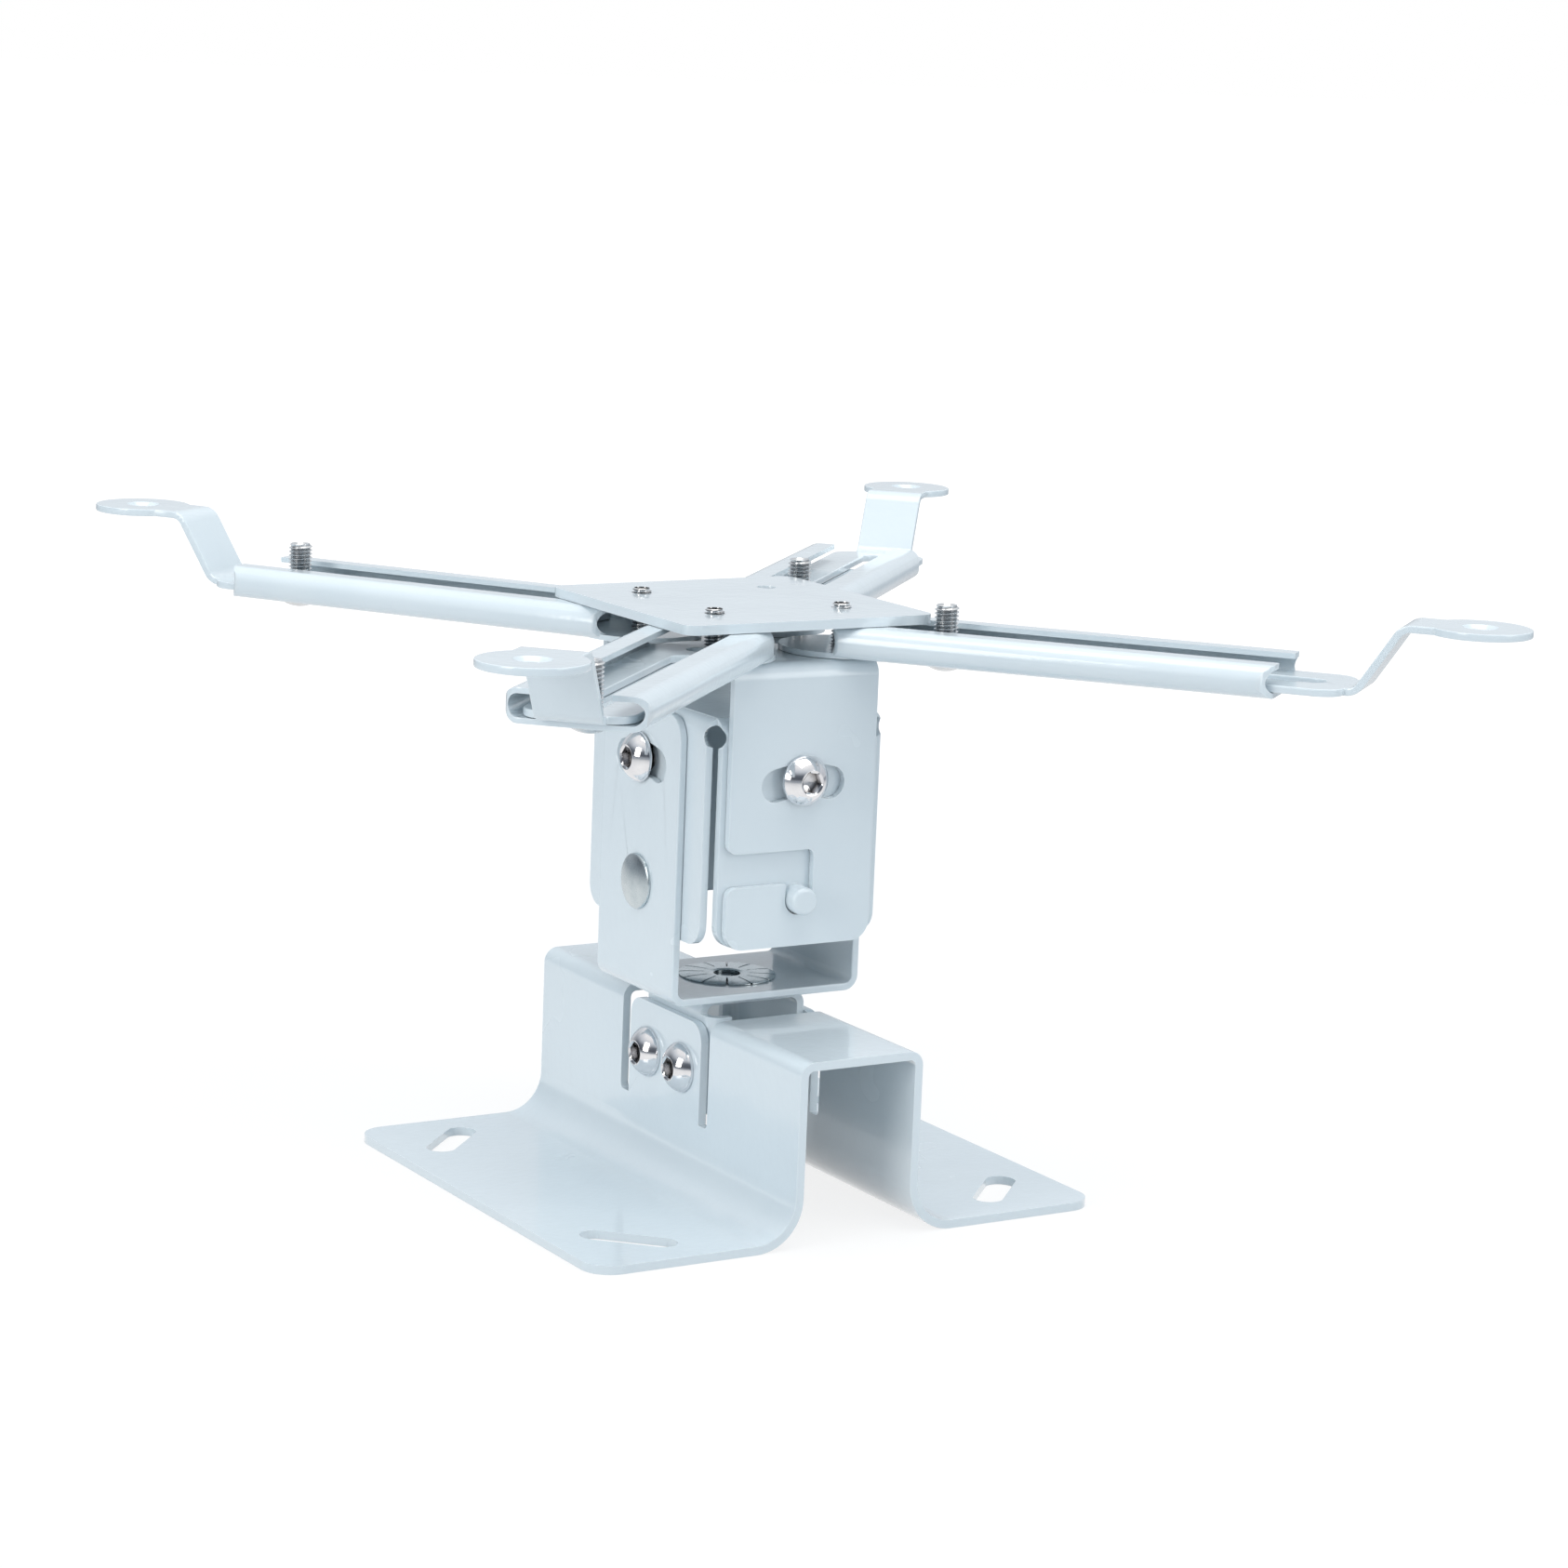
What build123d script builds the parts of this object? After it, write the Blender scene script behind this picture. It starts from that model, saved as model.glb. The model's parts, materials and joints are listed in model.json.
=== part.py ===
from build123d import *
from math import acos, sin, tan
import os

# Projector ceiling mount of folded, powder-coated sheet steel.
# Lengths are in millimetres. Z is up, with the mount standing on its ceiling plate, arms on top.
# The origin is the middle of the ceiling plate's underside. The plate's channel runs along Y.

# Clearances
turning_gap = 0.1
bolt_gap = 0.3
fit_gap = 0.05

# Ceiling plate, a hat section with a flange on each side
plate_sheet = 1.8
plate_length = 108.0
plate_width = 118.0
channel_width = 28.6
channel_height = 38.0
flange_bend = 8.5
channel_bend = 1.3
flange_corner = 6.0
ceiling_slot_x = 43.5
ceiling_slot_y = 39.0
ceiling_slot_length = 20.0
ceiling_slot_width = 6.2

# Tongues cut free in the channel's walls
tongue_width = 29.6
tongue_top = 36.6
tongue_corner = 4.0
slit_width = 3.4
slit_bottom = 15.5

# M6 button-head screws
m6_shank = 6.0
m6_head = 10.5
m6_head_height = 3.3
m6_socket = 4.0
m6_socket_depth = 2.0
m6_hole = 6.6
collar_wall = 1.5
collar_length = 2.2

# Neck bracket inside the channel
bracket_sheet = 1.6
bracket_bend = 1.6
neck_bottom = 17.5
neck_half_web = 10.9
neck_lip = 4.9
neck_lip_end = 15.4
neck_screw_spacing = 14.0
neck_screw_height = 26.0
neck_screw_length = 8.0

# Swivel rivet between the neck and the tilt bracket
swivel_shank = 8.0
swivel_head = 16.0
swivel_head_height = 1.9
swivel_tail = 13.0
swivel_tail_height = 1.6

# Tilt bracket, a U with its legs left and right
tilt_floor = 41.2
tilt_width = 44.6
tilt_depth = 31.8
tilt_top = 101.2
tilt_corner = 5.0

# Pivots and locks
pivot_height = 64.5
rivet_shank = 6.0
rivet_head = 11.6
rivet_head_height = 1.5
rivet_tail = 9.0
rivet_tail_height = 1.2
tilt_slot_radius = 26.0
roll_slot_radius = 24.5
lock_swing = 15.0
lock_slot_width = 6.8
lock_screw_length = 10.0

# Cross block, an open box of one sheet folded down on four sides
block_top = 102.0
block_bottom = 55.2
block_depth = 51.0
block_slit = 0.8
block_corner = 4.5
block_relief = 2.3
block_relief_drop = 3.8

# Hook pins on the block and the upper bracket that hangs on them
pin_shank = 5.8
pin_reach = 3.0
pin_tail = 8.0
pin_tail_height = 1.2
hook_width = 6.4
hook_throat_top = 74.7
hook_throat_bottom = 67.8
bracket_width = 33.8
bracket_bottom = 54.9
bracket_top = 113.0
bracket_corner = 4.0
saddle_width = 42.0
saddle_depth = 43.0
saddle_corner = 4.0

# Arm channels, their pivots and the spider plate over them
arm_pivot = 15.0
arm_sheet = 1.1
arm_width = 28.0
arm_height = 6.6
arm_opening = 14.0
arm_hem_start = 2.0
arm_end = 93.0
arm_corner = 4.0
arm_slot_start = 17.5
arm_slot_end = 88.0
arm_slot_width = 5.6
spider_width = 58.0
spider_sheet = 2.0
spider_corner = 3.0
m4_shank = 4.0
m4_head = 8.0
m4_head_height = 2.4
pivot_screw_length = 12.0
short_screw_length = 10.0

# Extension strips with their raised pads
strip_sheet = 1.5
strip_width = 21.6
strip_start = 4.0
strip_corner = 5.0
strip_bend = 2.5
riser_width = 13.0
riser_run = 8.5
riser_rise = 13.4
riser_start = 2.5
pad_reach = 13.5
pad_diameter = 20.4
pad_hole = 5.0
pad_sink = 1.6
strip_stud_hole = 9.5
strip_slot_start = 18.0

# Lock studs, low round heads below the arms
m5_shank = 5.0
m5_head = 9.6
m5_head_height = 2.3
m5_neck = 1.0
stud_length = 13.4
stud_seat = 83.5

# Each arm: the signs of its corner, its direction, how far its strip is drawn out, who holds its stud
arms = {
    "left": (-1, 1, 122.5, 7.0, "arm"),
    "front": (-1, -1, 224.3, 0.5, "arm"),
    "right": (1, -1, -51.0, 13.0, "strip"),
    "rear": (1, 1, 45.0, 20.0, "strip"),
}

# Heights and faces that follow from the sizes above
channel_inside = channel_width / 2 - plate_sheet
neck_half = channel_inside - turning_gap
neck_top = tilt_floor - turning_gap
leg_inside = tilt_width / 2 - bracket_sheet
block_half_x = leg_inside - turning_gap
block_half_y = block_depth / 2
bracket_half = block_half_y + turning_gap + bracket_sheet
saddle_under = bracket_top - bracket_sheet
arm_floor = bracket_top + turning_gap
spider_floor = arm_floor + arm_height + turning_gap
strip_floor = arm_sheet + turning_gap
roll_screw_height = pivot_height + roll_slot_radius
tilt_screw_height = pivot_height + tilt_slot_radius


def rounded_path(points, radii):
    """Lines through the points, with an arc of its own radius at each inner corner."""
    corners = [Vector(*point) for point in points]
    start = corners[0]
    edges = []
    for before, corner, after, radius in zip(corners, corners[1:], corners[2:], radii):
        back = (before - corner).normalized()
        ahead = (after - corner).normalized()
        half_angle = acos(back.dot(ahead)) / 2
        enter = corner + back * (radius / tan(half_angle))
        leave = corner + ahead * (radius / tan(half_angle))
        middle = corner + (back + ahead).normalized() * (radius / sin(half_angle) - radius)
        if (enter - start).length > 1e-6:
            edges.append(Line(start, enter))
        edges.append(ThreePointArc(enter, middle, leave))
        start = leave
    if (corners[-1] - start).length > 1e-6:
        edges.append(Line(start, corners[-1]))
    return edges


def folded_section(points, inside_radii, sheet):
    """The section of a folded sheet that lies to the left of the path through the points."""
    corners = [Vector(*point) for point in points]
    directions = [(b - a).normalized() for a, b in zip(corners, corners[1:])]
    normals = [Vector(-d.Y, d.X) for d in directions]
    other = [corners[0] + normals[0] * sheet]
    near_radii = []
    far_radii = []
    for corner, d1, d2, n1, n2, radius in zip(
        corners[1:], directions, directions[1:], normals, normals[1:], inside_radii
    ):
        other.append(corner + (n1 + n2) * (sheet / (1 + n1.dot(n2))))
        turns_left = d1.X * d2.Y - d1.Y * d2.X > 0
        near_radii.append(radius + sheet if turns_left else radius)
        far_radii.append(radius if turns_left else radius + sheet)
    other.append(corners[-1] + normals[-1] * sheet)
    near = rounded_path([(c.X, c.Y) for c in corners], near_radii)
    far = rounded_path([(c.X, c.Y) for c in other], far_radii)
    ends = [Line(corners[0], other[0]), Line(corners[-1], other[-1])]
    return make_face(Curve() + near + far + ends)


def across_x(section, width):
    """A section drawn in Y and Z, drawn out over a width in X."""
    return extrude(Plane.YZ * section, amount=width / 2, both=True)


def across_y(section, depth):
    """A section drawn in X and Z, drawn out over a depth in Y."""
    return extrude(Plane.XZ * section, amount=depth / 2, both=True)


def rod_x(y, z, radius, x_start, x_end):
    """A round bar along X."""
    return Plane.YZ.offset(x_start) * Pos(y, z) * Cylinder(
        radius, x_end - x_start, align=(Align.CENTER, Align.CENTER, Align.MIN)
    )


def rod_z(x, y, radius, z_start, z_end):
    """A round bar along Z."""
    return Pos(x, y, z_start) * Cylinder(
        radius, z_end - z_start, align=(Align.CENTER, Align.CENTER, Align.MIN)
    )


def around(piece, copies):
    """Copies of a piece, turned evenly round the Z axis, one solid each."""
    return [Rot(0, 0, 360 / copies * index) * piece for index in range(copies)]


def arc_slot(radius, width, swing):
    """A slot that follows a circle round the origin, centred above it."""
    ends = [Rot(0, 0, angle) * Pos(0, radius) * Circle(width / 2) for angle in (-swing, swing)]
    inner = CenterArc((0, 0), radius - width / 2, 90 - swing, 2 * swing)
    outer = CenterArc((0, 0), radius + width / 2, 90 - swing, 2 * swing)
    sides = [Line(inner @ 0, outer @ 0), Line(inner @ 1, outer @ 1)]
    return make_face(Curve() + [inner, outer] + sides) + ends[0] + ends[1]


def button_screw(shank, head, head_height, socket, socket_depth, length):
    """A button-head socket screw: head above the origin, shank below it."""
    crown = 0.62 * head_height
    rim = head_height - crown
    profile = make_face(
        Curve()
        + [
            Line((0, 0), (head / 2, 0)),
            Line((head / 2, 0), (head / 2, rim)),
            ThreePointArc(
                (head / 2, rim),
                (0.78 * head / 2, rim + 0.72 * crown),
                (0.45 * head / 2, head_height),
            ),
            Line((0.45 * head / 2, head_height), (0, head_height)),
            Line((0, head_height), (0, 0)),
        ]
    )
    body = revolve(Plane.XZ * profile, Axis.Z)
    body -= Pos(0, 0, head_height - socket_depth) * extrude(
        RegularPolygon(socket / 2, 6, major_radius=False), amount=head_height
    )
    body += rod_z(0, 0, shank / 2, -length, 0)
    return chamfer(body.edges().filter_by(GeomType.CIRCLE).sort_by(Axis.Z)[0], 0.5)


def low_dome(diameter, height):
    """A low round head above the origin, flat below and domed above."""
    rise = 0.65 * height
    ball = (diameter**2 / 4 + rise**2) / (2 * rise)
    head = rod_z(0, 0, diameter / 2, 0, height)
    return head & Pos(0, 0, height - ball) * Sphere(ball)


def ceiling_plate():
    """The hat-section plate that is screwed to the ceiling."""
    half = plate_width / 2
    top = channel_height - plate_sheet
    section = folded_section(
        [
            (-half, 0),
            (-channel_inside, 0),
            (-channel_inside, top),
            (channel_inside, top),
            (channel_inside, 0),
            (half, 0),
        ],
        [flange_bend, channel_bend, channel_bend, flange_bend],
        plate_sheet,
    )
    plate = across_y(section, plate_length)
    outline = RectangleRounded(plate_width, plate_length, flange_corner)
    plate &= extrude(outline, amount=channel_height)

    opening = Pos(0, 0, slit_bottom) * Box(
        channel_width + 2,
        tongue_width + 2 * slit_width,
        channel_height,
        align=(Align.CENTER, Align.CENTER, Align.MIN),
    )
    opening = fillet(opening.edges().filter_by(Axis.X).group_by(Axis.Z)[0], slit_width / 3)
    plate -= opening
    tongue_face = Pos(0, (slit_bottom + tongue_top) / 2) * Rectangle(tongue_width, tongue_top - slit_bottom)
    tongue_face = fillet(tongue_face.vertices().group_by(Axis.Y)[-1], tongue_corner)
    for side in (-1, 1):
        middle = side * (channel_inside + plate_sheet / 2)
        plate += Pos(middle, 0, 0) * across_x(tongue_face, plate_sheet)

    for sign_x in (-1, 1):
        for sign_y in (-1, 1):
            slot = SlotOverall(ceiling_slot_length, ceiling_slot_width, rotation=45 * sign_x * -sign_y)
            plate -= Pos(sign_x * ceiling_slot_x, sign_y * ceiling_slot_y, -1) * extrude(
                slot, amount=plate_sheet + 2
            )
    for y in (-neck_screw_spacing / 2, neck_screw_spacing / 2):
        plate -= rod_x(y, neck_screw_height, m6_hole / 2, -channel_width, channel_width)
    return plate


def neck_bracket():
    """The inverted U between the tongues, with one stiffening lip on each wall."""
    section = folded_section(
        [
            (neck_half, neck_bottom),
            (neck_half, neck_top),
            (-neck_half, neck_top),
            (-neck_half, neck_bottom),
        ],
        [bracket_bend, bracket_bend],
        bracket_sheet,
    )
    neck = across_y(section, 2 * neck_half_web)
    lip_section = folded_section(
        [
            (-neck_half, -neck_half_web + 1),
            (-neck_half, -neck_lip_end),
            (-neck_half + neck_lip, -neck_lip_end),
        ],
        [bracket_bend],
        bracket_sheet,
    )
    lip_height = neck_top - bracket_sheet - bracket_bend - neck_bottom
    lip = Pos(0, 0, neck_bottom) * extrude(lip_section, amount=lip_height)
    for copy in around(lip, 2):
        neck += copy
    for y in (-neck_screw_spacing / 2, neck_screw_spacing / 2):
        for side in (-1, 1):
            inner = side * (neck_half - bracket_sheet - collar_length)
            outer = side * (neck_half - bracket_sheet / 2)
            neck += rod_x(y, neck_screw_height, m6_shank / 2 + collar_wall, *sorted((inner, outer)))
        neck -= rod_x(y, neck_screw_height, m6_shank / 2 + fit_gap, -channel_width, channel_width)
    neck -= rod_z(0, 0, swivel_shank / 2, 0, tilt_floor)
    return neck


def side_screws(face, y, z, length):
    """Button-head screws on the left and right faces, pointing inwards."""
    screw = button_screw(m6_shank, m6_head, m6_head_height, m6_socket, m6_socket_depth, length)
    return [
        Pos(side * face, y, z) * Rot(0, side * 90, 0) * screw
        for side in (-1, 1)
    ]


def neck_screws():
    """Four screws that hold the neck between the tongues."""
    half = neck_screw_spacing / 2
    screws = []
    for y in (-half, half):
        screws += side_screws(channel_width / 2, y, neck_screw_height, neck_screw_length)
    return screws


def swivel_rivet():
    """The rivet that the tilt bracket turns on, fixed in the neck's web."""
    top = tilt_floor + bracket_sheet + turning_gap
    under = neck_top - bracket_sheet
    rivet = Pos(0, 0, top) * low_dome(swivel_head, swivel_head_height)
    rivet += rod_z(0, 0, swivel_shank / 2, under, top)
    rivet += Pos(0, 0, under) * Rot(180, 0, 0) * low_dome(swivel_tail, swivel_tail_height)
    return rivet


def tilt_bracket():
    """The U that swivels on the neck, with an arc slot near the top of each leg."""
    half = tilt_width / 2
    section = folded_section(
        [(-half, tilt_top), (-half, tilt_floor), (half, tilt_floor), (half, tilt_top)],
        [bracket_bend, bracket_bend],
        bracket_sheet,
    )
    bracket = across_y(section, tilt_depth)
    corners = bracket.edges().filter_by(Axis.X).group_by(Axis.Z)[-1]
    bracket = fillet(corners, tilt_corner)
    slot = Pos(0, pivot_height) * arc_slot(tilt_slot_radius, lock_slot_width, lock_swing)
    bracket -= across_x(slot, 2 * tilt_width)
    bracket -= rod_x(0, pivot_height, rivet_shank / 2, -tilt_width, tilt_width)
    bracket -= rod_z(0, 0, swivel_shank / 2 + fit_gap, 0, pivot_height)
    return bracket


def tilt_rivets():
    """Flat-headed rivets that join the tilt bracket's legs to the block."""
    inner = block_half_x - bracket_sheet - turning_gap
    rivet = Pos(0, 0, tilt_width / 2) * low_dome(rivet_head, rivet_head_height)
    rivet += rod_z(0, 0, rivet_shank / 2, inner, tilt_width / 2)
    rivet += Pos(0, 0, inner) * Rot(180, 0, 0) * low_dome(rivet_tail, rivet_tail_height)
    return [Pos(0, 0, pivot_height) * Rot(0, side * 90, 0) * rivet for side in (-1, 1)]


def cross_block():
    """One sheet folded down on four sides, with relief notches at the corners."""
    half_x = block_half_x
    half_y = block_half_y
    flange_x = 2 * (half_y - bracket_sheet - block_slit)
    flange_y = 2 * (half_x - bracket_sheet - block_slit)
    bends = [bracket_bend, bracket_bend]
    sides = across_y(
        folded_section(
            [(half_x, block_bottom), (half_x, block_top), (-half_x, block_top), (-half_x, block_bottom)],
            bends,
            bracket_sheet,
        ),
        flange_x,
    )
    ends = across_x(
        folded_section(
            [(half_y, block_bottom), (half_y, block_top), (-half_y, block_top), (-half_y, block_bottom)],
            bends,
            bracket_sheet,
        ),
        flange_y,
    )
    sides = fillet(sides.edges().filter_by(Axis.X).group_by(Axis.Z)[0], block_corner)
    ends = fillet(ends.edges().filter_by(Axis.Y).group_by(Axis.Z)[0], block_corner)
    block = sides + ends
    relief_height = block_top - block_relief_drop
    for sign_x in (-1, 1):
        for sign_y in (-1, 1):
            relief = Rot(0, 0, 45 * sign_x * sign_y) * Rot(0, 90, 0) * Cylinder(block_relief, 12)
            block -= Pos(sign_x * half_x, sign_y * half_y, relief_height) * relief

    collar = m6_shank / 2 + collar_wall
    for side in (-1, 1):
        inner = side * (half_x - bracket_sheet - collar_length)
        outer = side * (half_x - bracket_sheet / 2)
        block += rod_x(0, tilt_screw_height, collar, *sorted((inner, outer)))
        inner = side * (half_y - bracket_sheet - collar_length)
        outer = side * (half_y - bracket_sheet / 2)
        block += Rot(0, 0, 90) * rod_x(0, roll_screw_height, collar, *sorted((inner, outer)))
    through = m6_shank / 2 + fit_gap
    block -= rod_x(0, tilt_screw_height, through, -half_x - 1, half_x + 1)
    block -= Rot(0, 0, 90) * rod_x(0, roll_screw_height, through, -half_y - 1, half_y + 1)
    block -= rod_x(0, pivot_height, rivet_shank / 2 + fit_gap, -half_x - 1, half_x + 1)
    block -= Rot(0, 0, 90) * rod_x(0, pivot_height, pin_shank / 2, -half_y - 1, half_y + 1)
    return block


def tilt_lock_screws():
    """Screws through the tilt bracket's arc slots into the block's sides."""
    return side_screws(tilt_width / 2 + bolt_gap, 0, tilt_screw_height, lock_screw_length)


def roll_lock_screws():
    """Screws through the upper bracket's arc slots into the block's ends."""
    screws = side_screws(bracket_half + bolt_gap, 0, roll_screw_height, lock_screw_length)
    return [Rot(0, 0, 90) * screw for screw in screws]


def hook_pins():
    """Pins riveted into the block's ends, which the upper bracket hangs on."""
    inner = block_half_y - bracket_sheet
    reach = bracket_half + pin_reach
    pin = rod_z(0, 0, pin_shank / 2, inner, reach)
    pin = fillet(pin.edges().filter_by(GeomType.CIRCLE).group_by(Axis.Z)[-1], 0.9)
    pin += Pos(0, 0, inner) * Rot(180, 0, 0) * low_dome(pin_tail, pin_tail_height)
    return [Pos(0, 0, pivot_height) * Rot(-side * 90, 0, 0) * pin for side in (-1, 1)]


def hook_cut():
    """The throat that opens at the leg's left edge and drops to a seat round the pin."""
    left = -bracket_width / 2 - 1
    seat = Pos(0, pivot_height) * Circle(hook_width / 2)
    drop = Pos(0, (pivot_height + hook_throat_top) / 2) * Rectangle(
        hook_width, hook_throat_top - pivot_height
    )
    throat = Pos((left + hook_width / 2) / 2, (hook_throat_top + hook_throat_bottom) / 2) * Rectangle(
        hook_width / 2 - left, hook_throat_top - hook_throat_bottom
    )
    cut = seat + drop + throat
    corner = cut.vertices().group_by(Axis.Y)[-1].sort_by(Axis.X)[-1]
    return fillet(corner, 1.5)


def upper_bracket():
    """The inverted U that hangs on the pins, with a wide saddle under the arms."""
    section = folded_section(
        [
            (bracket_half, bracket_bottom),
            (bracket_half, bracket_top),
            (-bracket_half, bracket_top),
            (-bracket_half, bracket_bottom),
        ],
        [bracket_bend, bracket_bend],
        bracket_sheet,
    )
    bracket = across_x(section, bracket_width)
    leg_corners = bracket.edges().filter_by(Axis.Y).group_by(Axis.Z)[0]
    bracket = fillet(leg_corners, bracket_corner)
    cut = extrude(Plane.XZ * hook_cut(), amount=2 * bracket_half, both=True)
    bracket -= cut
    tips = [
        edge
        for edge in bracket.edges().filter_by(Axis.Y)
        if abs(edge.center().X + bracket_width / 2) < 0.01
        and min(abs(edge.center().Z - hook_throat_top), abs(edge.center().Z - hook_throat_bottom)) < 0.01
    ]
    bracket = fillet(tips, 2.0)
    slot = Pos(0, pivot_height) * arc_slot(roll_slot_radius, lock_slot_width, lock_swing)
    bracket -= extrude(Plane.XZ * slot, amount=2 * bracket_half, both=True)
    saddle = RectangleRounded(saddle_width, saddle_depth, saddle_corner)
    bracket += Pos(0, 0, saddle_under) * extrude(saddle, amount=bracket_sheet)
    for x in (-arm_pivot, arm_pivot):
        for y in (-arm_pivot, arm_pivot):
            bracket -= rod_z(x, y, m4_shank / 2 + fit_gap, saddle_under - 1, bracket_top + 1)
    return bracket


def spider_plate():
    """The square plate over the arms, tapped for the four pivot screws."""
    plate = Pos(0, 0, spider_floor) * extrude(
        RectangleRounded(spider_width, spider_width, spider_corner), amount=spider_sheet
    )
    for x in (-arm_pivot, arm_pivot):
        for y in (-arm_pivot, arm_pivot):
            plate -= rod_z(x, y, m4_shank / 2 + fit_gap, spider_floor - 1, spider_floor + spider_sheet + 1)
    return plate


def pivot_screw(sign_x, sign_y, length):
    """A pan-head screw from below the saddle, through an arm, into the spider plate."""
    screw = Rot(180, 0, 0) * low_dome(m4_head, m4_head_height)
    screw += rod_z(0, 0, m4_shank / 2, 0, length)
    screw = chamfer(screw.edges().filter_by(GeomType.CIRCLE).sort_by(Axis.Z)[-1], 0.4)
    drive = Rectangle(0.5 * m4_head, 1.0) + Rectangle(1.0, 0.5 * m4_head)
    screw -= Pos(0, 0, -m4_head_height) * extrude(drive, amount=1.2)
    return Pos(sign_x * arm_pivot, sign_y * arm_pivot, saddle_under) * screw


def placed(piece, sign_x, sign_y, direction):
    """A piece of an arm, moved from its own frame onto its corner and direction."""
    return Pos(sign_x * arm_pivot, sign_y * arm_pivot, arm_floor) * Rot(0, 0, direction) * piece


def slot_along(start, end, width, floor, height):
    """A cutter for a round-ended slot along X."""
    face = Pos((start + end) / 2, 0) * SlotOverall(end - start, width)
    return Pos(0, 0, floor) * extrude(face, amount=height)


def arm_channel():
    """A C channel with rolled-in sides; its floor ends in a round ear on the pivot."""
    half = arm_width / 2
    lip = arm_opening / 2
    inside = arm_height / 2 - arm_sheet
    section = folded_section(
        [
            (-lip, arm_height),
            (-half, arm_height),
            (-half, 0),
            (half, 0),
            (half, arm_height),
            (lip, arm_height),
        ],
        [inside] * 4,
        arm_sheet,
    )
    length = arm_end - arm_hem_start
    channel = Pos(arm_hem_start + length / 2, 0, 0) * across_x(section, length)
    outline = RectangleRounded(length, arm_width, arm_corner)
    channel &= Pos(arm_hem_start + length / 2, 0, 0) * extrude(outline, amount=arm_height)
    floor_half = half - arm_height / 2
    ear = Circle(floor_half + 2)
    ear += Pos(arm_hem_start + arm_corner / 2, 0) * Rectangle(
        2 * arm_hem_start + arm_corner, 2 * floor_half
    )
    channel += extrude(ear, amount=arm_sheet)
    channel -= rod_z(0, 0, m4_shank / 2 + fit_gap, -1, arm_sheet + 1)
    channel -= slot_along(arm_slot_start, arm_slot_end, arm_slot_width, -1, arm_sheet + 2)
    return channel


def extension_strip(drawn_out):
    """A flat strip in the channel that steps up outside it to a round pad."""
    shoulder = arm_end + drawn_out
    start = strip_start + drawn_out
    top = riser_rise + strip_floor
    foot = shoulder + riser_start
    head = foot + riser_run
    pad = head + pad_reach
    section = folded_section(
        [(shoulder - 3, strip_floor), (foot, strip_floor), (head, top), (pad, top)],
        [strip_bend, strip_bend],
        strip_sheet,
    )
    strip = across_y(section, riser_width)
    flat = Pos((start + shoulder) / 2, 0) * RectangleRounded(shoulder - start, strip_width, strip_corner)
    strip += Pos(0, 0, strip_floor) * extrude(flat, amount=strip_sheet)
    strip += rod_z(pad, 0, pad_diameter / 2, top, top + strip_sheet)
    strip -= rod_z(pad, 0, pad_hole / 2, top - 1, top + strip_sheet + 1)
    sink = Pos(pad, 0, top + strip_sheet - pad_sink / 4) * Cone(
        pad_hole / 2 + pad_sink / 4, pad_hole / 2 + pad_sink * 3 / 4, pad_sink / 2
    )
    strip -= sink
    hole = m5_shank / 2 + fit_gap
    strip -= rod_z(strip_stud_hole + drawn_out, 0, hole, strip_floor - 1, strip_floor + strip_sheet + 1)
    strip -= slot_along(
        strip_slot_start + drawn_out,
        arm_slot_end + drawn_out,
        arm_slot_width,
        strip_floor - 1,
        strip_sheet + 2,
    )
    return strip


def lock_stud(place):
    """A round-headed bolt below the arm with its thread standing up through the slots."""
    stud = Rot(180, 0, 0) * low_dome(m5_head, m5_head_height)
    stud += rod_z(0, 0, m5_shank / 2, 0, stud_length)
    stud = chamfer(stud.edges().filter_by(GeomType.CIRCLE).sort_by(Axis.Z)[-1], 0.5)
    stud += Pos(0, 0, m5_neck / 2) * Box(m5_shank, m5_shank, m5_neck)
    return Pos(place, 0, -turning_gap) * stud


def build():
    """All nodes by name."""
    nodes = {
        "ceiling_plate": ceiling_plate(),
        "neck_bracket": neck_bracket(),
        "neck_screws": neck_screws(),
        "swivel_rivet": swivel_rivet(),
        "tilt_bracket": tilt_bracket(),
        "tilt_rivets": tilt_rivets(),
        "cross_block": cross_block(),
        "tilt_lock_screws": tilt_lock_screws(),
        "roll_lock_screws": roll_lock_screws(),
        "hook_pins": hook_pins(),
        "upper_bracket": upper_bracket(),
        "spider_plate": spider_plate(),
    }
    for name, (sign_x, sign_y, direction, drawn_out, stud_holder) in arms.items():
        length = short_screw_length if name == "rear" else pivot_screw_length
        nodes["pivot_screw_" + name] = pivot_screw(sign_x, sign_y, length)
        nodes["arm_" + name] = placed(arm_channel(), sign_x, sign_y, direction)
        strip = extension_strip(drawn_out)
        nodes["extension_" + name] = placed(strip, sign_x, sign_y, direction)
        place = strip_stud_hole + drawn_out if stud_holder == "strip" else stud_seat
        nodes["lock_stud_" + name] = placed(lock_stud(place), sign_x, sign_y, direction)
    return nodes


os.makedirs("parts", exist_ok=True)
for node, shape in build().items():
    solids = shape if isinstance(shape, list) else [shape]
    compound = Compound(children=[solid for piece in solids for solid in piece.solids()])
    compound.label = node
    export_step(compound, f"parts/{node}.step")
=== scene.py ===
import json
import math

import bmesh
import bpy
from mathutils import Matrix, Vector


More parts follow.
